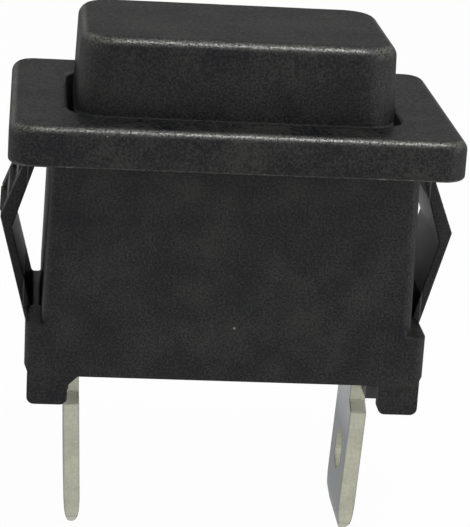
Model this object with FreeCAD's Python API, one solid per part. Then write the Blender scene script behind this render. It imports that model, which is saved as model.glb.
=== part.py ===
import FreeCAD, Part
import math
import os

# Miniature snap-in momentary pushbutton switch with a rectangular bezel and two tab terminals.
# Frame: origin at the centre of the panel plane, which is the underside of the bezel.
# X runs along the long side, Y across it, Z out of the panel through the button.
# All lengths are in millimetres and all angles in degrees.

# Button cap
button_length = 15.1
button_depth = 10.1
button_top_height = 5.61
button_end_draft = 0.18
button_side_draft = 0.11
button_corner = 1.7
button_edge_round = 0.62
button_wall = 0.9
skirt_drop = 2.4

# Gaps round the button and lugs that hold it in
button_end_gap = 0.3
button_side_gap = 0.13
lug_ledge = 0.32
lug_length = 3.0
lug_height = 0.7
lug_spread = 4.2
lug_clearance = 0.08
rest_clearance = 0.02

# Bezel and body of the housing
bezel_height = 1.93
bezel_end_overhang = 1.93
bezel_side_overhang = 1.24
bezel_corner = 1.15
bezel_edge_round = 0.55
bezel_under_round = 0.2
aperture_corner = 1.9
aperture_edge_bevel = 0.12
lip_drop = 0.6
body_height = 10.35
body_flare = 0.12
body_corner = 0.5
end_wall = 0.75
side_wall = 0.8

# Shoulders and feet at the ends of the body
shoulder_step = 0.84
shoulder_height = 2.42
rear_ledge_drop = 1.22
lead_in_width = 0.16
lead_in_height = 0.4
foot_width = 1.9
foot_depth = 2.2
foot_height = 1.45
foot_set_back = 0.08
foot_round = 0.35
foot_web = 0.5

# Snap arms with ratchet steps
arm_width = 6.2
arm_top_thickness = 0.48
arm_leg_thickness = 0.43
arm_apex_reach = 2.2
arm_apex_drop = 3.6
arm_inner_apex_drop = 0.5
arm_top_reach = 0.9
arm_top_gap = 0.3
arm_root_drop = 0.79
arm_slot_depth = 0.17
arm_slot_round = 0.16
ratchet_width = 4.2
ratchet_ledge = 0.3
ratchet_lip = 0.09
ratchet_start = 0.1
ratchet_count = 3

# Base plate that closes the body
base_thickness = 1.5
base_fit = 0.03
base_corner = 0.4
spring_post_radius = 0.75
spring_post_length = 4.4
stop_boss_offset = 0.05
stop_boss_length = 0.85
stop_boss_width = 1.5
stop_boss_drop = 1.78
stop_boss_chamfer = 0.35

# Terminals
terminal_end_gap = 0.25
terminal_thickness = 0.8
tab_width = 4.8
tab_reach = 9.28
tab_toe_in = 2.6
tab_tip_chamfer = 0.75
tab_tip_chamfer_height = 0.55
tab_tip_bevel = 0.09
tab_tip_bevel_height = 0.8
tab_tip_corner = 0.17
neck_width = 3.2
neck_length = 2.45
shoulder_slope = 0.34
eye_radius = 1.05
eye_drop = 5.62
slot_clearance = 0.02
foot_rise = 1.5
bend_radius = 0.3

# Contacts, in pairs at the same distance from the centre
contact_inset = 2.0
contact_margin = 0.25
contact_radius = 1.05
contact_height = 0.35
contact_bevel = 0.12
contact_shank_radius = 0.5
shank_clearance = 0.01
contact_gap = 1.8
closed_clearance = 0.02

# Contact bridge
bridge_margin = 0.35
bridge_width = 3.0
bridge_thickness = 0.4
bridge_ring_radius = 3.3
bridge_bore_clearance = 0.07

# Hollow plunger and its socket in the button
plunger_radius = 1.9
plunger_bore_radius = 1.45
plunger_roof = 1.0
plunger_flange_radius = 2.5
plunger_flange_height = 0.6
plunger_top_height = 1.2
socket_clearance = 0.03
socket_wall = 0.85
socket_drop = 1.6
core_hole_radius = 1.2
rib_thickness = 0.7
rib_drop = 0.4

# Springs
return_wire_radius = 0.17
return_clearance = 0.1
return_turns = 4.5
contact_wire_radius = 0.15
contact_spring_clearance = 0.16
contact_turns = 2.5
wire_flats = 6

# Housing sizes that follow the button
aperture_length = button_length + 2 * button_end_gap
aperture_depth = button_depth + 2 * button_side_gap
cavity_length = aperture_length
cavity_depth = aperture_depth + 2 * lug_ledge
body_length = cavity_length + 2 * end_wall
body_depth = cavity_depth + 2 * side_wall
bezel_length = body_length + 2 * bezel_end_overhang
bezel_depth = body_depth + 2 * bezel_side_overhang

# Places of the terminals and contacts, from the ends inwards
terminal_spacing = cavity_length - terminal_thickness - 2 * terminal_end_gap
contact_spacing = terminal_spacing - 2 * contact_inset
foot_inner_reach = contact_spacing / 2 - contact_radius - contact_margin
bridge_length = contact_spacing + 2 * (contact_radius + bridge_margin)

# Heights of the mechanism, from the base upwards
base_top = base_thickness - body_height
foot_underside = base_top + foot_rise - terminal_thickness
foot_top = foot_underside + terminal_thickness
fixed_contact_top = foot_top + contact_height
bridge_contact_low = fixed_contact_top + contact_gap + closed_clearance
bridge_low = bridge_contact_low + contact_height
bridge_top = bridge_low + bridge_thickness
plunger_low = bridge_low - plunger_flange_height
socket_low = -socket_drop
plunger_bore_top = plunger_top_height - plunger_roof
socket_radius = plunger_radius + socket_clearance + socket_wall

# Small amount by which a cutting or joining body passes through a face
through = 0.5


def rounded_outline(length, depth, radius, height):
    """Closed wire of a rectangle with round corners, centred on Z, at one height."""
    half_x = length / 2
    half_y = depth / 2
    straight_x = half_x - radius
    straight_y = half_y - radius
    diagonal = radius * math.sqrt(0.5)
    edges = []
    corners = ((1, -1), (1, 1), (-1, 1), (-1, -1))
    for number, (sx, sy) in enumerate(corners):
        along_x = FreeCAD.Vector(sx * straight_x, sy * half_y, height)
        along_y = FreeCAD.Vector(sx * half_x, sy * straight_y, height)
        middle = FreeCAD.Vector(sx * (straight_x + diagonal), sy * (straight_y + diagonal), height)
        start, end = (along_x, along_y) if number % 2 == 0 else (along_y, along_x)
        edges.append((start, middle, end))
    wire = []
    for number, (start, middle, end) in enumerate(edges):
        wire.append(Part.Arc(start, middle, end).toShape())
        following = edges[(number + 1) % len(edges)][0]
        wire.append(Part.LineSegment(end, following).toShape())
    return Part.Wire(wire)


def rounded_block(length, depth, radius, low, high):
    """Upright block with round vertical corners between two heights."""
    face = Part.Face(rounded_outline(length, depth, radius, low))
    return face.extrude(FreeCAD.Vector(0, 0, high - low))


def block(x_low, x_high, y_low, y_high, z_low, z_high):
    """Plain block between two corners."""
    corner = FreeCAD.Vector(x_low, y_low, z_low)
    return Part.makeBox(x_high - x_low, y_high - y_low, z_high - z_low, corner)


def cylinder(radius, low, high, x=0.0, y=0.0):
    """Upright cylinder between two heights."""
    return Part.makeCylinder(radius, high - low, FreeCAD.Vector(x, y, low))


def side_profile(points, width):
    """Closed outline of X and Z pairs, extruded across Y and centred on it."""
    corners = [FreeCAD.Vector(x, -width / 2, z) for x, z in points]
    outline = Part.makePolygon(corners + corners[:1])
    return Part.Face(outline).extrude(FreeCAD.Vector(0, width, 0))


def mirrored(shape):
    """The same shape at the other end of the switch."""
    return shape.mirror(FreeCAD.Vector(0, 0, 0), FreeCAD.Vector(1, 0, 0))


def both_ends(shape):
    """A shape made for the right end, with its mirror image at the left end."""
    return [shape, mirrored(shape)]


def both_sides(shape):
    """A shape made for the back side, with its mirror image at the front."""
    return [shape, shape.mirror(FreeCAD.Vector(0, 0, 0), FreeCAD.Vector(0, 1, 0))]


def is_level(edge, height):
    """Whether an edge lies wholly at one height."""
    box = edge.BoundBox
    return abs(box.ZMin - height) < 1e-4 and abs(box.ZMax - height) < 1e-4


def is_upright(edge, x_low, x_high, y_size):
    """Whether an edge stands at a corner, between two distances along X and at one along Y."""
    box = edge.BoundBox
    within_x = x_low - body_flare < abs(box.Center.x) < x_high + body_flare
    at_y = abs(abs(box.Center.y) - y_size) < 1e-3
    return box.ZLength > lead_in_height / 2 and within_x and at_y


# Housing, moulded in one piece

def bezel():
    """Bezel plate with a rolled top edge."""
    plate = rounded_block(bezel_length, bezel_depth, bezel_corner, 0, bezel_height)
    top_edges = [edge for edge in plate.Edges if is_level(edge, bezel_height)]
    plate = plate.makeFillet(bezel_edge_round, top_edges)
    low_edges = [edge for edge in plate.Edges if is_level(edge, 0)]
    return plate.makeFillet(bezel_under_round, low_edges)


def body_shell():
    """Outside of the body with the wider shoulders at its lower ends."""
    half = body_length / 2
    flared = half + body_flare
    reach = half + shoulder_step
    ledge = shoulder_height - body_height
    right = [
        (half - body_flare / 2, bezel_height / 2),
        (flared, ledge),
        (reach, ledge),
        (reach, lead_in_height - body_height),
        (reach - lead_in_width, -body_height),
    ]
    left = [(-x, z) for x, z in reversed(right)]
    shell = side_profile(right + left, body_depth)
    corners = [edge for edge in shell.Edges if is_upright(edge, half, reach, body_depth / 2)]
    return shell.makeFillet(body_corner, corners)


def corner_foot():
    """Foot at the back right corner, below the body."""
    outer = body_length / 2 + shoulder_step - lead_in_width
    back = body_depth / 2 - foot_set_back
    low = -body_height - foot_height
    foot = block(outer - foot_width, outer, back - foot_depth, back, low, through - body_height)
    low_edges = [edge for edge in foot.Edges if is_level(edge, low) and edge.BoundBox.YLength > 1]
    return foot.makeFillet(foot_round, low_edges)


def foot_gusset():
    """Web in the corner between the body and the inner side of a foot, shown for the back right foot."""
    inner = body_length / 2 + shoulder_step - lead_in_width - foot_width
    back = body_depth / 2 - foot_set_back
    corner = [
        (inner, -body_height - foot_web),
        (inner - foot_web, -body_height),
        (inner, -body_height),
    ]
    points = [FreeCAD.Vector(x, back - side_wall / 2, z) for x, z in corner]
    face = Part.Face(Part.makePolygon(points + points[:1]))
    return face.extrude(FreeCAD.Vector(0, side_wall / 2, 0))


def leg_outer(height):
    """X of the outer line of the right arm's lower leg at a height."""
    root = body_length / 2 + shoulder_step
    apex = body_length / 2 + arm_apex_reach
    root_height = shoulder_height - body_height - arm_root_drop
    share = (height - root_height) / (-arm_apex_drop - root_height)
    return root + (apex - root) * share


def snap_arm():
    """Bent arm at the right end, rooted on the shoulder and free under the bezel."""
    half = body_length / 2
    root = shoulder_height - body_height - arm_root_drop
    inner_apex = -arm_apex_drop - arm_inner_apex_drop
    profile = [
        (leg_outer(root) - arm_leg_thickness, root),
        (leg_outer(root), root),
        (half + arm_apex_reach, -arm_apex_drop),
        (half + arm_top_reach, -arm_top_gap),
        (half + arm_top_reach - arm_top_thickness, -arm_top_gap),
        (leg_outer(inner_apex) - arm_leg_thickness, inner_apex),
    ]
    return side_profile(profile, arm_width)


def arm_slot():
    """Slot between the body and the right arm, cut down into the shoulder."""
    inner = body_length / 2 + body_flare
    ledge = shoulder_height - body_height
    low = ledge - arm_slot_depth
    slot = side_profile([
        (inner, low),
        (leg_outer(low) - arm_leg_thickness, low),
        (leg_outer(ledge + through) - arm_leg_thickness, ledge + through),
        (inner, ledge + through),
    ], arm_width)
    floor_edges = [edge for edge in slot.Edges if is_level(edge, low) and edge.BoundBox.YLength > 1]
    return slot.makeFillet(arm_slot_round, floor_edges)


def rear_ledge_cut():
    """What is removed from the right shoulder behind the arm, where its ledge lies lower."""
    ledge = shoulder_height - body_height
    return block(
        body_length / 2 + body_flare, body_length / 2 + shoulder_step + through,
        arm_width / 2, body_depth / 2 + through,
        ledge - rear_ledge_drop, ledge + through,
    )


def upper_outer(height):
    """X of the straight outer line of the right arm's upper leg at a height."""
    half = body_length / 2
    share = (height + arm_apex_drop) / (arm_apex_drop - arm_top_gap)
    return half + arm_apex_reach + (arm_top_reach - arm_apex_reach) * share


def ratchet_recess():
    """What is removed from the right arm's upper leg between its straight side ribs."""
    low = -arm_apex_drop
    high = -arm_top_gap
    inwards = arm_top_thickness / 2
    return side_profile([
        (upper_outer(low) - inwards, low),
        (upper_outer(low) + through, low),
        (upper_outer(high) + through, high),
        (upper_outer(high) - inwards, high),
    ], ratchet_width)


def ratchet():
    """Steps between the side ribs, each with a level ledge, which grip the panel edge."""
    low = -arm_apex_drop
    high = -arm_top_gap
    pitch = (high - low - ratchet_start) / ratchet_count
    inwards = arm_top_thickness / 2
    points = [(upper_outer(low) - inwards, low), (upper_outer(low), low)]
    for number in range(ratchet_count):
        ledge = low + ratchet_start + pitch * number
        tip = upper_outer(ledge) + ratchet_lip
        points.append((tip, ledge))
        points.append((tip - ratchet_ledge, ledge))
    points.append((upper_outer(high), high))
    points.append((upper_outer(high) - inwards, high))
    return side_profile(points, ratchet_width)


def housing():
    """Bezel, body, shoulders, feet and snap arms, hollow and open below."""
    shape = bezel().fuse(body_shell())
    for foot in both_sides(corner_foot()):
        shape = shape.fuse(both_ends(foot))
    for arm in both_ends(snap_arm().cut(ratchet_recess()).fuse(ratchet())):
        shape = shape.fuse(arm)
    shape = shape.cut(both_ends(arm_slot())).cut(both_ends(rear_ledge_cut()))
    for web in both_sides(mirrored(foot_gusset())):
        shape = shape.fuse(web)
    cavity = block(
        -cavity_length / 2, cavity_length / 2,
        -cavity_depth / 2, cavity_depth / 2,
        -body_height - foot_height - through, -lip_drop,
    )
    aperture = rounded_block(
        aperture_length, aperture_depth, aperture_corner, -body_height, bezel_height + through
    )
    shape = shape.cut(cavity).cut(aperture)
    rim = [edge for edge in shape.Edges if is_level(edge, bezel_height) and in_aperture(edge)]
    return shape.makeChamfer(aperture_edge_bevel, rim).removeSplitter()


def in_aperture(edge):
    """Whether an edge lies on the outline of the aperture."""
    box = edge.BoundBox
    inside_x = max(abs(box.XMin), abs(box.XMax)) < aperture_length / 2 + 1e-3
    inside_y = max(abs(box.YMin), abs(box.YMax)) < aperture_depth / 2 + 1e-3
    return inside_x and inside_y


# Base plate that closes the body and holds the terminals

def terminal_base():
    """Base plate with terminal slots, stop bosses and the post of the return spring."""
    length = cavity_length - 2 * base_fit
    depth = cavity_depth - 2 * base_fit
    shape = rounded_block(length, depth, base_corner, -body_height, base_top)
    shape = shape.fuse(spring_post())
    for boss in both_sides(stop_boss()):
        shape = shape.fuse(both_ends(boss))
    return shape.cut(both_ends(terminal_slot()))


def spring_post():
    """Post that centres the return spring."""
    high = base_top + spring_post_length
    post = cylinder(spring_post_radius, base_top - base_thickness / 2, high)
    rim = [edge for edge in post.Edges if is_level(edge, high)]
    return post.makeChamfer(spring_post_radius / 3, rim)


def stop_boss():
    """Boss below the plate, beside the neck of the right terminal and above its shoulder."""
    x_low = terminal_spacing / 2 + stop_boss_offset
    y_low = neck_width / 2 + slot_clearance
    low = -body_height - stop_boss_drop
    boss = block(
        x_low, x_low + stop_boss_length, y_low, y_low + stop_boss_width, low, -body_height
    )
    outer = x_low + stop_boss_length
    low_edges = [edge for edge in boss.Edges if is_level(edge, low) and edge.BoundBox.XMin > outer - 1e-4]
    return boss.makeChamfer(stop_boss_chamfer, low_edges)


def terminal_slot():
    """Slot in the plate for the right terminal."""
    half_x = terminal_thickness / 2 + slot_clearance
    half_y = neck_width / 2 + slot_clearance
    middle = terminal_spacing / 2
    return block(
        middle - half_x, middle + half_x, -half_y, half_y, -body_height - through, base_top + through
    )


# Terminals and their contacts

def tab_blade():
    """Outer tab of the right terminal, hung from its root and leaning inwards."""
    half = terminal_thickness / 2
    low = -tab_reach
    bevel = half - tab_tip_bevel
    flat = bevel - tab_tip_corner
    right = [
        (flat, low),
        (bevel, low + tab_tip_corner),
        (half, low + tab_tip_bevel_height),
        (half, 0),
    ]
    section = right + [(-x, z) for x, z in reversed(right)]
    blade = side_profile(section, tab_width)
    for cutter in both_sides(blade_edge_cut()):
        blade = blade.cut(cutter)
    eye_axis = FreeCAD.Vector(1, 0, 0)
    eye_start = FreeCAD.Vector(-terminal_thickness, 0, -eye_drop)
    blade = blade.cut(Part.makeCylinder(eye_radius, 2 * terminal_thickness, eye_start, eye_axis))
    root = FreeCAD.Vector(0, 0, 0)
    blade.rotate(root, FreeCAD.Vector(0, 1, 0), tab_toe_in)
    blade.translate(FreeCAD.Vector(terminal_spacing / 2, 0, -body_height))
    return blade


def blade_edge_cut():
    """What is removed beyond the back edge of a tab: beside its neck and at its tip."""
    edge = tab_width / 2
    neck = neck_width / 2
    low = -tab_reach
    outline = [
        (neck, through),
        (neck, -neck_length),
        (edge, -neck_length - shoulder_slope),
        (edge, low + tab_tip_chamfer_height),
        (edge - tab_tip_chamfer, low),
        (edge - tab_tip_chamfer, low - through),
        (edge + through, low - through),
        (edge + through, through),
    ]
    corners = [FreeCAD.Vector(-terminal_thickness, y, z) for y, z in outline]
    face = Part.Face(Part.makePolygon(corners + corners[:1]))
    return face.extrude(FreeCAD.Vector(2 * terminal_thickness, 0, 0))


def terminal_inner_leg():
    """Upright leg through the plate, bent inwards into a foot that carries the fixed contact."""
    outer = terminal_spacing / 2 + terminal_thickness / 2
    inner = outer - terminal_thickness
    leg = side_profile([
        (inner, -body_height), (outer, -body_height), (outer, foot_top),
        (foot_inner_reach, foot_top), (foot_inner_reach, foot_underside), (inner, foot_underside),
    ], neck_width)
    outer_bend = [edge for edge in leg.Edges if is_bend(edge, outer, foot_top)]
    leg = leg.makeFillet(bend_radius + terminal_thickness * 0.75, outer_bend)
    inner_bend = [edge for edge in leg.Edges if is_bend(edge, inner, foot_underside)]
    return leg.makeFillet(bend_radius, inner_bend)


def is_bend(edge, x, z):
    """Whether an edge runs across the switch at one place of the side profile."""
    box = edge.BoundBox
    return box.YLength > 1 and abs(box.Center.x - x) < 1e-4 and abs(box.Center.z - z) < 1e-4


def terminal():
    """Right terminal: tab, neck, leg and foot, stamped and bent from one strip."""
    shape = tab_blade().fuse(terminal_inner_leg())
    hole = cylinder(
        contact_shank_radius + shank_clearance, foot_underside - through, foot_top + through,
        contact_spacing / 2,
    )
    return shape.cut(hole).removeSplitter()


def rivet_contact(face_height, seat_height, far_height):
    """Right contact rivet: bevelled head between its face and its seat, and a shank to the far side."""
    middle = contact_spacing / 2
    head = cylinder(
        contact_radius, min(face_height, seat_height), max(face_height, seat_height), middle
    )
    rim = [edge for edge in head.Edges if is_level(edge, face_height)]
    head = head.makeChamfer(contact_bevel, rim)
    shank = cylinder(
        contact_shank_radius, min(seat_height, far_height), max(seat_height, far_height), middle
    )
    return head.fuse(shank).removeSplitter()


def fixed_contact():
    """Right fixed contact, riveted through the foot of the terminal."""
    return rivet_contact(fixed_contact_top, foot_top, foot_underside)


def bridge_contact():
    """Right moving contact, riveted through the bridge, facing down."""
    return rivet_contact(bridge_contact_low, bridge_low, bridge_top)


# Moving parts

def contact_bridge():
    """Flat bridge with a ring round the plunger and an arm to each contact."""
    arms = rounded_block(bridge_length, bridge_width, bridge_width / 3, bridge_low, bridge_top)
    shape = arms.fuse(cylinder(bridge_ring_radius, bridge_low, bridge_top))
    cuts = [cylinder(plunger_radius + bridge_bore_clearance, bridge_low - through, bridge_top + through)]
    cuts += both_ends(cylinder(
        contact_shank_radius + shank_clearance, bridge_low - through, bridge_top + through,
        contact_spacing / 2,
    ))
    return shape.cut(cuts).removeSplitter()


def plunger():
    """Hollow plunger with the flange that lifts the bridge."""
    shape = cylinder(plunger_radius, plunger_low, plunger_top_height)
    shape = shape.fuse(cylinder(plunger_flange_radius, plunger_low, bridge_low))
    return shape.cut(cylinder(plunger_bore_radius, plunger_low - through, plunger_bore_top))


def button():
    """Hollow button cap with retaining lugs, inner ribs and the socket of the plunger."""
    shape = button_outside().cut(button_hollow())
    shape = shape.fuse(button_ribs()).fuse(socket_outside())
    for lug in both_sides(retaining_lug()):
        shape = shape.fuse(both_ends(lug))
    socket_bore = cylinder(plunger_radius + socket_clearance, socket_low - through, plunger_top_height)
    core_hole = cylinder(core_hole_radius, socket_low - through, button_top_height - button_wall)
    return shape.cut([socket_bore, core_hole]).removeSplitter()


def button_outside():
    """Tapered cap above the bezel on a straight skirt."""
    base = rounded_outline(button_length, button_depth, button_corner, 0)
    crown = rounded_outline(
        button_length - 2 * button_end_draft, button_depth - 2 * button_side_draft,
        button_corner, button_top_height,
    )
    cap = Part.makeLoft([base, crown], True, True)
    top_edges = [edge for edge in cap.Edges if is_level(edge, button_top_height)]
    cap = cap.makeFillet(button_edge_round, top_edges)
    return cap.fuse(rounded_block(button_length, button_depth, button_corner, -skirt_drop, 0))


def button_hollow():
    """Space inside the cap, open below."""
    return rounded_block(
        button_length - 2 * button_wall, button_depth - 2 * button_wall,
        button_corner - button_wall, -skirt_drop - through, button_top_height - button_wall,
    )


def button_ribs():
    """Cross of ribs between the socket and the walls."""
    high = button_top_height - button_wall / 2
    half_x = (button_length - button_wall) / 2
    half_y = (button_depth - button_wall) / 2
    half_rib = rib_thickness / 2
    along = block(-half_x, half_x, -half_rib, half_rib, -rib_drop, high)
    across = block(-half_rib, half_rib, -half_y, half_y, -rib_drop, high)
    return along.fuse(across)


def socket_outside():
    """Round boss under the roof of the cap."""
    return cylinder(socket_radius, socket_low, button_top_height - button_wall / 2)


def retaining_lug():
    """Lug on the back of the skirt at the right, caught under the lip of the aperture."""
    high = -lip_drop - rest_clearance
    outer = cavity_depth / 2 - lug_clearance
    return block(
        lug_spread - lug_length / 2, lug_spread + lug_length / 2,
        button_depth / 2 - button_wall / 2, outer, high - lug_height, high,
    )


def coil(mean_radius, wire_radius, low, high, turns):
    """Coil spring between two seats, its round wire drawn with flats."""
    start = low + wire_radius
    height = high - wire_radius - start
    path = Part.makeHelix(height / turns, height, mean_radius)
    path.translate(FreeCAD.Vector(0, 0, start))
    section = []
    for number in range(wire_flats):
        angle = 2 * math.pi * number / wire_flats
        section.append(FreeCAD.Vector(
            mean_radius + wire_radius * math.cos(angle), 0, start + wire_radius * math.sin(angle)
        ))
    ring = Part.makePolygon(section + section[:1])
    return Part.Wire(path).makePipeShell([ring], True, True)


def return_spring():
    """Spring inside the plunger, between the base plate and the roof of the bore."""
    radius = plunger_bore_radius - return_clearance - return_wire_radius
    return coil(radius, return_wire_radius, base_top, plunger_bore_top, return_turns)


def contact_spring():
    """Spring round the plunger, between the socket and the bridge."""
    radius = plunger_radius + contact_spring_clearance + contact_wire_radius
    return coil(radius, contact_wire_radius, bridge_top, socket_low, contact_turns)


nodes = {
    "housing": housing(),
    "terminal_base": terminal_base(),
    "button": button(),
    "plunger": plunger(),
    "return_spring": return_spring(),
    "contact_spring": contact_spring(),
    "contact_bridge": contact_bridge(),
}
for piece, shape in (
    ("terminal", terminal()),
    ("fixed_contact", fixed_contact()),
    ("bridge_contact", bridge_contact()),
):
    nodes[piece + "_right"] = shape
    nodes[piece + "_left"] = mirrored(shape)

os.makedirs("parts", exist_ok=True)
for name, shape in nodes.items():
    shape.exportStep("parts/" + name + ".step")
    print(name, shape.ShapeType, len(shape.Solids), shape.isValid(), round(shape.Volume, 3))
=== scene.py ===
import bmesh
import bpy
import math
from mathutils import Matrix, Vector


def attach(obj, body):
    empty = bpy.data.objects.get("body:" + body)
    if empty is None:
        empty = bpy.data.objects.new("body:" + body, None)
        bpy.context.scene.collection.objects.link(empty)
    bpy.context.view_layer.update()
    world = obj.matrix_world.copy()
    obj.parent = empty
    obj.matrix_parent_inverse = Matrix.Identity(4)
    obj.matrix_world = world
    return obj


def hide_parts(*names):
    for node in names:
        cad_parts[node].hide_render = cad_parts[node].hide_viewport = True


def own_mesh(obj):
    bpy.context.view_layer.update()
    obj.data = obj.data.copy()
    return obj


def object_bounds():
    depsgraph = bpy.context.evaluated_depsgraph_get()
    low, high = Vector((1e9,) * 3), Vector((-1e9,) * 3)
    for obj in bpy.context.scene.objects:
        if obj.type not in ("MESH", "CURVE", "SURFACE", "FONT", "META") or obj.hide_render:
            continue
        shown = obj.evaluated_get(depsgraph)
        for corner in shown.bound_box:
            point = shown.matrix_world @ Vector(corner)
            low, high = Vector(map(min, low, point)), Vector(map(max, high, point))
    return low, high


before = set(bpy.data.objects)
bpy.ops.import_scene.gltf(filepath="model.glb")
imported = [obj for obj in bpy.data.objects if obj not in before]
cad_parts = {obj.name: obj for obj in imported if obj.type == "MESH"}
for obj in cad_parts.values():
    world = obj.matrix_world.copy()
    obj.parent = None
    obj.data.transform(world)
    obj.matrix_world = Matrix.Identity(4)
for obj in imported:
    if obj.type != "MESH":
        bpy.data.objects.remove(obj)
cad_box = [list(corner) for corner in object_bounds()]

MM = 0.001

# Camera, fitted to the photograph's edges: its focal length in pixels, its turns in radians, the
# place of the switch's origin in front of it, and the nearest distance that it shows, in metres
PHOTO_HEIGHT = 527
FOCAL_PIXELS = 2400.0
SENSOR = 36.0
TILT_X = 0.29029
TURN_Z = -0.09442
ROLL = 0.06276
EYE_SHIFT = Vector((-0.35173, -6.17379, 116.19987)) * MM
NEAREST_SEEN = 0.005

# Stage: the light from all round, what the floor shows of itself to the camera, its colour and
# size, its gap under the tips of the tabs, and the point that the lamps face
AMBIENT = 0.32
FLOOR_GLOW = 0.975
FLOOR_COLOUR = (0.82, 0.82, 0.82, 1.0)
FLOOR_SIZE = 4.0
FLOOR_GAP = 0.02 * MM
MIDDLE = Vector((0, 0, -4 * MM))

# Places on the housing, in millimetres: just past the aperture's half length and half width and
# the top of the bezel, the height from which the top rounds get a coat and a painted highlight,
# and the height of the line of painted glints along the bezel's lower edge
APERTURE_X = 7.95
APERTURE_Y = 5.45
BEZEL_TOP = 1.95
HIGHLIGHT_FROM = -0.3
GLINT_LINE_HEIGHT = 0.02

# Places on a snap arm, in millimetres: just past where it leaves the shoulder, the width of the
# strip at its root, just past half its width, and the half width, top and foot of its ratchet
ARM_START = 9.55
ARM_ROOT = 0.06
ARM_SIDE = 3.2
RATCHET_SIDE = 2.12
RATCHET_TOP = -0.05
RATCHET_FOOT = -3.7

# Tip of a tab: the heights of its rings above its end, in millimetres, the share of its thickness
# that it loses at its end, the curve of that loss, and the share of the top ring's height below
# which it draws in; then the tab's rolled edges, in millimetres, and the angle at which it leans in
TIP_RINGS = (1.5, 1.0, 0.6, 0.28)
TIP_DRAW = 0.40
TIP_CURVE = 1.5
BELOW_TOP_RING = 0.99
EDGE_ROLL = 0.13
TOE_IN = math.radians(2.6)

# Height from which the wide faces of a tab are painted lighter towards its shoulder, as a painted
# reflection, in millimetres
REFLECTION_FROM = -14.8

# Faces that meet at less than the first angle become one, and edges sharper than the second are
# rolled; points are joined, and cuts made, within these distances
FLAT_ANGLE = math.radians(2)
SHARP_ANGLE = math.radians(28)
MERGE_WITHIN = 0.001 * MM
CUT_WITHIN = 0.0001 * MM

# Radii by which the materials roll the edges, in millimetres
MOULDED_ROUND = 0.14
STRIP_ROUND = 0.15
SHEET_ROUND = 0.1
PLAIN_ROUND = 0.08

# Colours of the materials
# The first colour is the painted highlight on the top rounds of the housing and the button
PAINTED_HIGHLIGHT_BLACK = (0.135, 0.138, 0.115, 1.0)
BASE_BLACK = (0.02, 0.02, 0.02, 1.0)
ACETAL = (0.78, 0.77, 0.72, 1.0)
TIN = (0.225, 0.23, 0.235, 1.0)
TIN_STAIN = (0.145, 0.148, 0.156, 1.0)
TIN_RIM = (0.22, 0.225, 0.235, 1.0)
CUT_METAL = (0.52, 0.52, 0.42, 1.0)
BRASS = (0.78, 0.56, 0.27, 1.0)
BRASS_STAIN = (0.58, 0.40, 0.18, 1.0)
SILVER = (0.86, 0.85, 0.82, 1.0)
SILVER_STAIN = (0.62, 0.60, 0.56, 1.0)
SPRING_STEEL = (0.60, 0.59, 0.57, 1.0)


class Value:
    """A shader socket with arithmetic: each operator adds a Math node."""

    def __init__(self, tree, socket):
        self.tree = tree
        self.socket = socket

    def _math(self, operation, *others):
        node = self.tree.nodes.new("ShaderNodeMath")
        node.operation = operation
        for index, item in enumerate(others):
            if isinstance(item, Value):
                self.tree.links.new(item.socket, node.inputs[index])
            else:
                node.inputs[index].default_value = item
        return Value(self.tree, node.outputs[0])

    def __add__(self, other):
        return self._math("ADD", self, other)

    __radd__ = __add__

    def __sub__(self, other):
        return self._math("SUBTRACT", self, other)

    def __rsub__(self, other):
        return self._math("SUBTRACT", other, self)

    def __mul__(self, other):
        return self._math("MULTIPLY", self, other)

    __rmul__ = __mul__

    def above(self, other):
        """1 where this value is greater, else 0."""
        return self._math("GREATER_THAN", self, other)

    def below(self, other):
        """1 where this value is less, else 0."""
        return self._math("LESS_THAN", self, other)

    def size(self):
        """This value without its sign."""
        return self._math("ABSOLUTE", self)

    def larger(self, other):
        """The larger of two values."""
        return self._math("MAXIMUM", self, other)

    def clipped(self):
        """This value held between 0 and 1."""
        return self._math("MINIMUM", self._math("MAXIMUM", self, 0.0), 1.0)

    def over(self, start, slope):
        """0 up to a start, and then rising with a slope to 1."""
        return ((self - start) * slope).clipped()

    def under(self, end, slope):
        """1 at first, falling with a slope to 0 at an end."""
        return ((end - self) * slope).clipped()

    def broken_by(self, pattern, start, slope):
        """This mask where a pattern is over a start, rising with a slope."""
        return (self * (pattern - start) * slope).clipped()


class Nodes:
    """The nodes of a material or of the world."""

    def __init__(self, owner, output):
        owner.use_nodes = True
        self.tree = owner.node_tree
        self.tree.nodes.clear()
        self.output = self.tree.nodes.new(output)

    def node(self, kind, settings=None, inputs=None, output=0):
        """Adds any node: settings first, then the values or links of its sockets."""
        node = self.tree.nodes.new(kind)
        for key, value in (settings or {}).items():
            if key == "stops":
                ramp = node.color_ramp
                while len(ramp.elements) < len(value):
                    ramp.elements.new(0.5)
                for element, (position, colour) in zip(ramp.elements, value):
                    element.position = position
                    element.color = colour
            else:
                setattr(node, key, value)
        for key, value in (inputs or {}).items():
            if isinstance(value, Value):
                self.tree.links.new(value.socket, node.inputs[key])
            else:
                node.inputs[key].default_value = value
        return Value(self.tree, node.outputs[output])

    def seen(self):
        """1 for the rays that show the ground itself: to the camera, off gloss or through glass."""
        camera_ray, glossy_ray, through_ray = (
            self.node("ShaderNodeLightPath", output=ray)
            for ray in ("Is Camera Ray", "Is Glossy Ray", "Is Transmission Ray")
        )
        return (camera_ray + glossy_ray + through_ray).clipped()

    def show(self, shader):
        """Puts the last shader on the output."""
        self.tree.links.new(shader.socket, self.output.inputs["Surface"])


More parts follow.
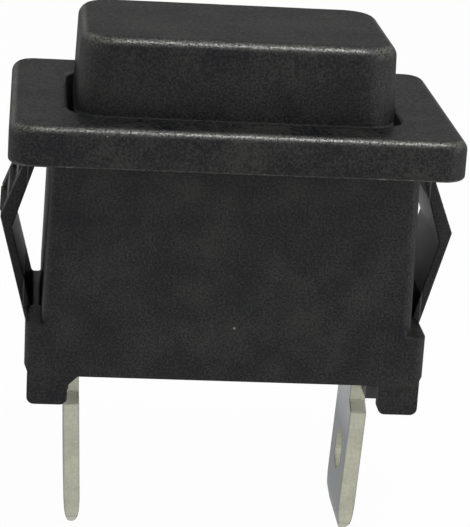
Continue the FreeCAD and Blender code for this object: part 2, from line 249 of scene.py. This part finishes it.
class Finish(Nodes):
    """One material, built from nodes on object coordinates."""

    def __init__(self, name):
        self.material = bpy.data.materials.new(name)
        super().__init__(self.material, "ShaderNodeOutputMaterial")
        self.coordinates = self.node("ShaderNodeTexCoord", output="Object")

    def noise(self, per_mm, detail=2.0, roughness=0.5, stretch=(1, 1, 1), offset=(0, 0, 0)):
        """Noise with a number of features per millimetre, from 0 to 1."""
        place = self.node("ShaderNodeMapping", None, {
            "Vector": self.coordinates, "Scale": [s / MM for s in stretch], "Location": offset,
        })
        return self.node("ShaderNodeTexNoise", None, {
            "Vector": place, "Scale": per_mm, "Detail": detail, "Roughness": roughness,
        })

    def cells(self, per_mm):
        """Distance to the nearest of scattered points."""
        place = self.node("ShaderNodeMapping", None, {
            "Vector": self.coordinates, "Scale": [1 / MM] * 3,
        })
        return self.node("ShaderNodeTexVoronoi", None, {"Vector": place, "Scale": per_mm})

    def ramp(self, value, stops):
        """Colour that runs through stops as a value rises."""
        return self.node("ShaderNodeValToRGB", {"stops": stops}, {"Fac": value})

    def mix(self, factor, first, second):
        """Colour between two colours."""
        return self.node("ShaderNodeMix", {"data_type": "RGBA"}, {
            0: factor, 6: first, 7: second,
        }, 2)

    def rounded(self, radius):
        """Normal that rolls over edges within a radius, in millimetres."""
        return self.node("ShaderNodeBevel", {"samples": 8}, {"Radius": radius * MM})

    def facing(self, normal, direction):
        """How far a normal points in a direction, from -1 to 1."""
        return self.node("ShaderNodeVectorMath", {"operation": "DOT_PRODUCT"}, {
            0: normal, 1: direction,
        }, "Value")

    def edges(self, rolled):
        """0 on open faces, rising to 1 where a rolled normal leaves the true one."""
        true_normal = self.node("ShaderNodeNewGeometry", output="Normal")
        return self.facing(rolled, true_normal).under(1, slope=6)

    def towards(self, direction):
        """How far the surface faces a direction, from -1 to 1."""
        return self.facing(self.node("ShaderNodeNewGeometry", output="Normal"), direction)

    def along(self, axis):
        """How far the surface faces along an axis, either way, from 0 to 1."""
        return self.towards(axis).size()

    def rounds(self):
        """0 on the flat faces and the slopes near them, 1 on the rounded edges between them."""
        flat = self.along((1, 0, 0)).larger(self.along((0, 1, 0))).larger(self.along((0, 0, 1)))
        return flat.under(0.94, slope=6)

    def place(self, axis):
        """The object coordinate along X, Y or Z, in millimetres."""
        axes = self.node("ShaderNodeSeparateXYZ", None, {"Vector": self.coordinates}, axis)
        return axes * (1 / MM)

    def bump(self, height, strength, distance, normal=None):
        """Normal with bumps up to a distance, in millimetres, over the true normal or another."""
        inputs = {"Height": height, "Strength": strength, "Distance": distance * MM}
        if normal is not None:
            inputs["Normal"] = normal
        return self.node("ShaderNodeBump", None, inputs)

    def shader(self, **sockets):
        """A surface shader, with its sockets given by name."""
        names = {key.replace("_", " "): value for key, value in sockets.items()}
        return self.node("ShaderNodeBsdfPrincipled", None, names)

    def finished(self, shader):
        """The material, with its last shader on the output."""
        self.show(shader)
        return self.material

    def surface(self, **sockets):
        """The material, made of one surface shader."""
        return self.finished(self.shader(**sockets))


def grey(value, warmth=0.0):
    """A linear colour near grey, with a little more red and less blue as warmth rises."""
    return (value * (1 + warmth), value, value * (1 - warmth), 1.0)


def toned(colour, factor):
    """A colour made lighter or darker."""
    return [part * factor for part in colour[:3]] + [1.0]


def moulded_black(name, tone, gloss, grain, recess_light):
    """Black moulded plastic: spark-eroded grain, flow mottling and a little dust, with painted
    light:
    level faces a little lighter, a painted highlight on the top rounds, painted glints on the edges
    and along the bezel's lower edge, and painted light in the recesses.

    The grain hides the gloss at a low angle, so the gloss fades there, least where light is painted
    into the recesses. recess_light takes the finish and gives 1 where the recesses get painted
    light, a paler colour."""
    finish = Finish(name)
    cloud = finish.noise(per_mm=0.45, detail=4.0, roughness=0.65)
    speckle = finish.noise(per_mm=10.0, detail=3.0, roughness=0.7)
    coarse = finish.noise(per_mm=4.6, detail=4.0, roughness=0.8, offset=(1, 6, 2))
    pits = finish.noise(per_mm=20.0, detail=2.0, roughness=0.6, offset=(3, 1, 2))
    wear = finish.noise(per_mm=0.55, detail=2.0, roughness=0.6, offset=(5, 2, 9))
    streaks = finish.noise(per_mm=1.3, detail=2.0, roughness=0.7, offset=(2, 8, 4))
    lint = finish.noise(per_mm=0.8, detail=0.0, offset=(7, 7, 1))
    rolled = finish.rounded(MOULDED_ROUND)
    level = finish.along((0, 0, 1))
    height = finish.place("Z")
    rounds = finish.rounds() * level * height.above(HIGHLIGHT_FROM)

    # Mottled black, with a coarser grain on the level faces, which are also painted a little
    # lighter as painted light
    cool = (tone * 0.20, tone * 0.17, tone * 0.40, 1.0)
    warm = (tone * 2.50, tone * 2.60, tone * 2.30, 1.0)
    grit = speckle + (coarse - speckle) * level
    shade = finish.ramp(grit * 0.70 + cloud * 0.30 + level * 0.015, [
        (0.41, cool), (0.50, grey(tone, -0.03)), (0.59, warm),
    ])

    # Edges lighter with wear and painted glints, a painted highlight on the top rounds, painted
    # light in the recesses, a line of painted glints along the bezel's lower edge, and dust
    wear_and_glints = finish.edges(rolled).broken_by(wear, 0.46, slope=7) * 0.30
    shade = finish.mix(wear_and_glints, shade, grey(tone * 4.5, 0.02))
    # Painted highlight on the top rounds, broken by the grain
    painted_highlight = rounds.broken_by(speckle, 0.41, slope=6) * 0.80
    shade = finish.mix(painted_highlight, shade, PAINTED_HIGHLIGHT_BLACK)
    # Painted light in the recesses: a paler colour where shade falls
    painted_light = recess_light(finish)
    shade = finish.mix((painted_light * (speckle + 0.4)).clipped(), shade, grey(0.13, -0.03))
    # A line of painted glints along the bezel's lower edge, broken by streaks
    glint_line = (height - GLINT_LINE_HEIGHT).size().under(0.11, slope=16) * (1 - level).clipped()
    glints = glint_line.broken_by(streaks, 0.60, slope=20)
    shade = finish.mix(glints * (speckle + 0.2).clipped(), shade, grey(0.34, 0.03))
    dust = finish.cells(per_mm=0.7).under(0.050, slope=60) * lint.above(0.53)
    shade = finish.mix(dust * 0.8, shade, grey(0.26, 0.03))

    textured = finish.bump(speckle * 0.5 + pits * 0.5, grain, 0.04, rolled)
    glossy = finish.shader(
        Base_Color=shade,
        Roughness=(gloss + (cloud - 0.5) * 0.10 + (speckle - 0.5) * 0.35).clipped(),
        Specular_IOR_Level=0.20,
        Coat_Weight=rounds.broken_by(speckle, 0.38, slope=4.5) * 0.9,
        Coat_Roughness=0.27,
        Normal=textured,
    )
    matt = finish.shader(Base_Color=shade, Roughness=1.0, Specular_IOR_Level=0.0, Normal=textured)
    low_angle = finish.node(
        "ShaderNodeLayerWeight", None, {"Blend": 0.5, "Normal": rolled}, "Facing"
    )
    fade = low_angle.over(0.30, slope=2.1) * (0.72 - painted_light * 0.42)
    return finish.finished(finish.node("ShaderNodeMixShader", None, {0: fade, 1: glossy, 2: matt}))


def in_the_housing(finish):
    """Mask of painted light for the housing's recesses: 1 on the upright walls of the aperture,
    and less inside the snap arms and on the ratchets.
    """
    upright = finish.along((0, 0, 1)).below(0.5)
    away_x = finish.place("X").size()
    away_y = finish.place("Y").size()
    height = finish.place("Z")
    aperture = away_x.below(APERTURE_X) * away_y.below(APERTURE_Y)
    on_arm = away_x.above(ARM_START) * away_y.below(ARM_SIDE)
    outwards = finish.towards((1, 0, 0)) * finish.place("X")
    arm_inside = on_arm * outwards.below(-0.5)
    arm_root = on_arm * away_x.below(ARM_START + ARM_ROOT)
    ratchet = away_x.above(ARM_START) * away_y.below(RATCHET_SIDE)
    ratchet = ratchet * height.below(RATCHET_TOP) * height.above(RATCHET_FOOT)
    return upright * aperture.larger(arm_inside.larger(arm_root) * 0.85).larger(ratchet * 0.40)


def in_the_aperture(finish):
    """1 on the part of the button that stands in the aperture, which gets painted light."""
    return finish.place("Z").under(BEZEL_TOP, slope=6)


def plain_plastic(name, colour, roughness, scatter=0.0):
    """Plain moulded plastic with a little variation."""
    finish = Finish(name)
    cloud = finish.noise(per_mm=0.5, detail=3.0, roughness=0.55)
    ripple = finish.noise(per_mm=4.0, detail=2.0)
    dimples = finish.noise(per_mm=6.0, detail=2.0)
    return finish.surface(
        Base_Color=finish.mix(cloud, toned(colour, 0.86), toned(colour, 1.08)),
        Roughness=(roughness + (ripple - 0.5) * 0.15).clipped(),
        Normal=finish.bump(dimples, 0.15, 0.03, finish.rounded(PLAIN_ROUND)),
        Subsurface_Weight=scatter,
        Subsurface_Scale=0.4 * MM,
    )


def stamped_strip(name, plated, stained, cut_metal, rim, roughness):
    """Strip stamped after plating: dull plated faces, and cut edges that show the paler metal.

    The rolled rims are greyer, and the set-in shoulders, where no tool polishes, are matt, with
    their colour painted pale as painted light on the faces that look up."""
    finish = Finish(name)
    drag = finish.noise(per_mm=1.0, detail=3.0, roughness=0.6, stretch=(14, 14, 1.1))
    cloud = finish.noise(per_mm=0.75, detail=4.0, roughness=0.65)
    fine = finish.noise(per_mm=9.0, detail=2.0, roughness=0.6)
    rolled = finish.rounded(STRIP_ROUND)
    face = finish.ramp((cloud * 0.60 + drag * 0.20 + fine * 0.20).clipped(), [
        (0.40, stained), (0.60, plated),
    ])
    cut = finish.ramp(cloud * 0.50 + fine * 0.30 + drag * 0.20, [
        (0.38, toned(cut_metal, 0.72)), (0.62, cut_metal),
    ])
    # Painted reflection: the wide faces painted lighter towards the shoulder
    painted_reflection = finish.place("Z").over(REFLECTION_FROM, slope=0.5)
    face = finish.mix(painted_reflection * 0.85, face, toned(plated, 1.8))
    is_face = finish.along((1, 0, 0)).over(0.6, slope=5)
    on_rim = (finish.edges(rolled) * 1.2).clipped() * 0.8
    colour = finish.mix(on_rim, finish.mix(is_face, cut, face), rim)
    # Faces that look up, the shoulders: matt, and painted pale as painted light
    shoulder = finish.towards((0, 0, 1)).over(0.2, slope=4)
    dullness = roughness + (cloud - 0.5) * 0.30 + (drag - 0.5) * 0.15 + shoulder * 0.3
    return finish.surface(
        Base_Color=finish.mix(shoulder, colour, toned(cut_metal, 1.75)),
        Metallic=1 - shoulder * 0.9,
        Roughness=dullness.clipped(),
        Normal=finish.bump(drag * 0.45 + fine * 0.55, 0.5, 0.03, rolled),
    )


def sheet_metal(name, colour, stain, roughness, rolling):
    """Bare sheet or rivet metal: rolling lines, soft stains and rolled edges."""
    finish = Finish(name)
    lines = finish.noise(per_mm=1.0, detail=3.0, roughness=0.6, stretch=rolling)
    cloud = finish.noise(per_mm=0.55, detail=4.0, roughness=0.6)
    fine = finish.noise(per_mm=9.0, detail=2.0, roughness=0.5)
    return finish.surface(
        Base_Color=finish.ramp((cloud * 0.7 + lines * 0.3).clipped(), [
            (0.34, stain), (0.62, colour),
        ]),
        Metallic=1.0,
        Roughness=(roughness + (cloud - 0.5) * 0.25 + (lines - 0.5) * 0.12).clipped(),
        Normal=finish.bump(lines * 0.5 + fine * 0.5, 0.22, 0.02, finish.rounded(SHEET_ROUND)),
    )


def drawn_wire(name, colour, roughness):
    """Drawn spring wire with fine die lines and a little tarnish."""
    finish = Finish(name)
    tarnish = finish.noise(per_mm=1.1, detail=3.0, roughness=0.6)
    fine = finish.noise(per_mm=22.0, detail=2.0, roughness=0.5)
    return finish.surface(
        Base_Color=finish.mix(tarnish, toned(colour, 0.62), colour),
        Metallic=1.0,
        Roughness=(roughness + (fine - 0.5) * 0.2).clipped(),
        Normal=finish.bump(fine, 0.2, 0.01),
    )


def dress(node, material):
    """Gives a node of the frame its material."""
    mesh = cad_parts[node].data
    mesh.materials.clear()
    mesh.materials.append(material)


def merged_copy(node):
    """A copy of a node's mesh, with its loose triangles joined."""
    work = bmesh.new()
    work.from_mesh(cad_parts[node].data)
    bmesh.ops.remove_doubles(work, verts=work.verts, dist=MERGE_WITHIN)
    return work


def new_piece(name, work, material):
    """An object made of a finished mesh."""
    data = bpy.data.meshes.new(name)
    work.to_mesh(data)
    work.free()
    piece = bpy.data.objects.new(name, data)
    bpy.context.scene.collection.objects.link(piece)
    piece.data.materials.append(material)
    return piece


def draw_in_tip(work, lean):
    """Thins the tip of a tab about its leaning middle, ring by ring."""
    tip = min(point.co.z for point in work.verts)
    for rise in TIP_RINGS:
        bmesh.ops.bisect_plane(
            work, geom=work.verts[:] + work.edges[:] + work.faces[:], dist=CUT_WITHIN,
            plane_co=(0, 0, tip + rise * MM), plane_no=(0, 0, 1),
        )
    top = tip + TIP_RINGS[0] * BELOW_TOP_RING * MM
    low = [point for point in work.verts if point.co.z < top]
    middle = sum(point.co.x - lean * (tip - point.co.z) for point in low) / len(low)
    for point in low:
        centre = middle + lean * (tip - point.co.z)
        drawn_in = 1 - (point.co.z - tip) / (TIP_RINGS[0] * MM)
        share = 1 - TIP_DRAW * drawn_in ** TIP_CURVE
        point.co.x = centre + (point.co.x - centre) * share


def soft_terminal(side):
    """Terminal with the drawn-in tip and the tumbled edges of the real tab."""
    name = "terminal_" + side
    work = merged_copy(name)
    bmesh.ops.dissolve_limit(work, angle_limit=FLAT_ANGLE, verts=work.verts, edges=work.edges)
    draw_in_tip(work, math.tan(TOE_IN) * (1 if side == "left" else -1))
    sharp = [
        edge for edge in work.edges
        if len(edge.link_faces) == 2 and edge.calc_face_angle() > SHARP_ANGLE
    ]
    bmesh.ops.bevel(
        work, geom=sharp, offset=EDGE_ROLL * MM, offset_type="OFFSET", segments=3, profile=0.5,
        affect="EDGES", material=-1, clamp_overlap=True,
    )
    piece = new_piece("soft_" + name, work, tinned)
    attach(piece, "root")
    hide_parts(name)


def working_spring(name, body):
    """Coil spring: a copy of the node's mesh, with its loose triangles joined, carried by a body
    and given a mesh of its own.
    """
    work = merged_copy(name)
    piece = new_piece("working_" + name, work, wire)
    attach(piece, body)
    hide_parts(name)
    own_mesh(piece)


def white_world():
    """Soft even light, with plain white where the camera, gloss or glass looks past the object."""
    world = bpy.data.worlds.new("studio")
    bpy.context.scene.world = world
    nodes = Nodes(world, "ShaderNodeOutputWorld")
    strength = AMBIENT + nodes.seen() * (1 - AMBIENT)
    nodes.show(nodes.node("ShaderNodeBackground", None, {"Strength": strength}))


def floor():
    """Pale floor that looks white to the camera and keeps the soft shadow."""
    bpy.ops.mesh.primitive_plane_add(size=FLOOR_SIZE, location=(0, 0, 0))
    plane = bpy.context.object
    plane.name = "floor"
    plane.data.transform(Matrix.Translation((0, 0, cad_box[0][2] - FLOOR_GAP)))
    finish = Finish("floor white")
    matt = finish.node("ShaderNodeBsdfDiffuse", None, {"Color": FLOOR_COLOUR})
    glow = finish.node("ShaderNodeEmission", None, {"Color": (1, 1, 1, 1), "Strength": 1.0})
    glowing = finish.seen() * FLOOR_GLOW
    both = finish.node("ShaderNodeMixShader", None, {0: glowing, 1: matt, 2: glow})
    plane.data.materials.append(finish.finished(both))


def softbox(name, place, size, power):
    """Rectangular area light that faces the middle of the switch, in millimetres and watts."""
    data = bpy.data.lights.new(name, "AREA")
    data.shape = "RECTANGLE"
    data.size, data.size_y = (s * MM for s in size)
    data.energy = power
    lamp = bpy.data.objects.new(name, data)
    bpy.context.scene.collection.objects.link(lamp)
    lamp.location = Vector(place) * MM
    aim = MIDDLE - lamp.location
    lamp.rotation_euler = aim.to_track_quat("-Z", "Y").to_euler()


def camera():
    """Camera at the photograph's viewpoint."""
    upright = Matrix(((1, 0, 0), (0, 0, -1), (0, 1, 0)))
    turn = Matrix.Rotation(ROLL, 3, "Z") @ Matrix.Rotation(TILT_X, 3, "X")
    turn = turn @ Matrix.Rotation(TURN_Z, 3, "Y") @ upright
    data = bpy.data.cameras.new("camera")
    data.sensor_width = SENSOR
    data.sensor_height = SENSOR
    data.sensor_fit = "AUTO"
    data.lens = FOCAL_PIXELS * SENSOR / PHOTO_HEIGHT
    data.clip_start = NEAREST_SEEN
    view = bpy.data.objects.new("camera", data)
    bpy.context.scene.collection.objects.link(view)
    look = turn.transposed() @ Matrix(((1, 0, 0), (0, -1, 0), (0, 0, -1)))
    view.matrix_world = Matrix.Translation(-(turn.transposed() @ EYE_SHIFT)) @ look.to_4x4()
    bpy.context.scene.camera = view


# Materials

housing_black = moulded_black(
    "housing black", tone=0.0125, gloss=0.34, grain=0.8, recess_light=in_the_housing
)
button_black = moulded_black(
    "button black", tone=0.0115, gloss=0.34, grain=0.8, recess_light=in_the_aperture
)
base_black = plain_plastic("base black", BASE_BLACK, roughness=0.45)
acetal = plain_plastic("natural acetal", ACETAL, roughness=0.38, scatter=0.15)
tinned = stamped_strip("tinned brass", TIN, TIN_STAIN, CUT_METAL, TIN_RIM, roughness=0.50)
brass = sheet_metal("bridge brass", BRASS, BRASS_STAIN, roughness=0.34, rolling=(1.2, 14, 14))
silver = sheet_metal("contact silver", SILVER, SILVER_STAIN, roughness=0.30, rolling=(6, 6, 6))
wire = drawn_wire("spring steel", SPRING_STEEL, roughness=0.30)

dress("housing", housing_black)
dress("button", button_black)
dress("terminal_base", base_black)
dress("plunger", acetal)
dress("contact_bridge", brass)
for side in ("left", "right"):
    dress("terminal_" + side, tinned)
    dress("fixed_contact_" + side, silver)
    dress("bridge_contact_" + side, silver)
for spring in ("return_spring", "contact_spring"):
    dress(spring, wire)

# Pieces that stand in for nodes of the frame

for side in ("left", "right"):
    soft_terminal(side)
working_spring("return_spring", "root")
working_spring("contact_spring", "bridge")

# Stage

white_world()
floor()
camera()
softbox("top softbox", place=(25, -52, 170), size=(55, 55), power=0.21)
softbox("left fill", place=(-160, -110, 40), size=(120, 160), power=0.02)
softbox("right strip", place=(150, -95, 28), size=(60, 90), power=0.09)

bpy.context.scene.view_settings.view_transform = "Standard"
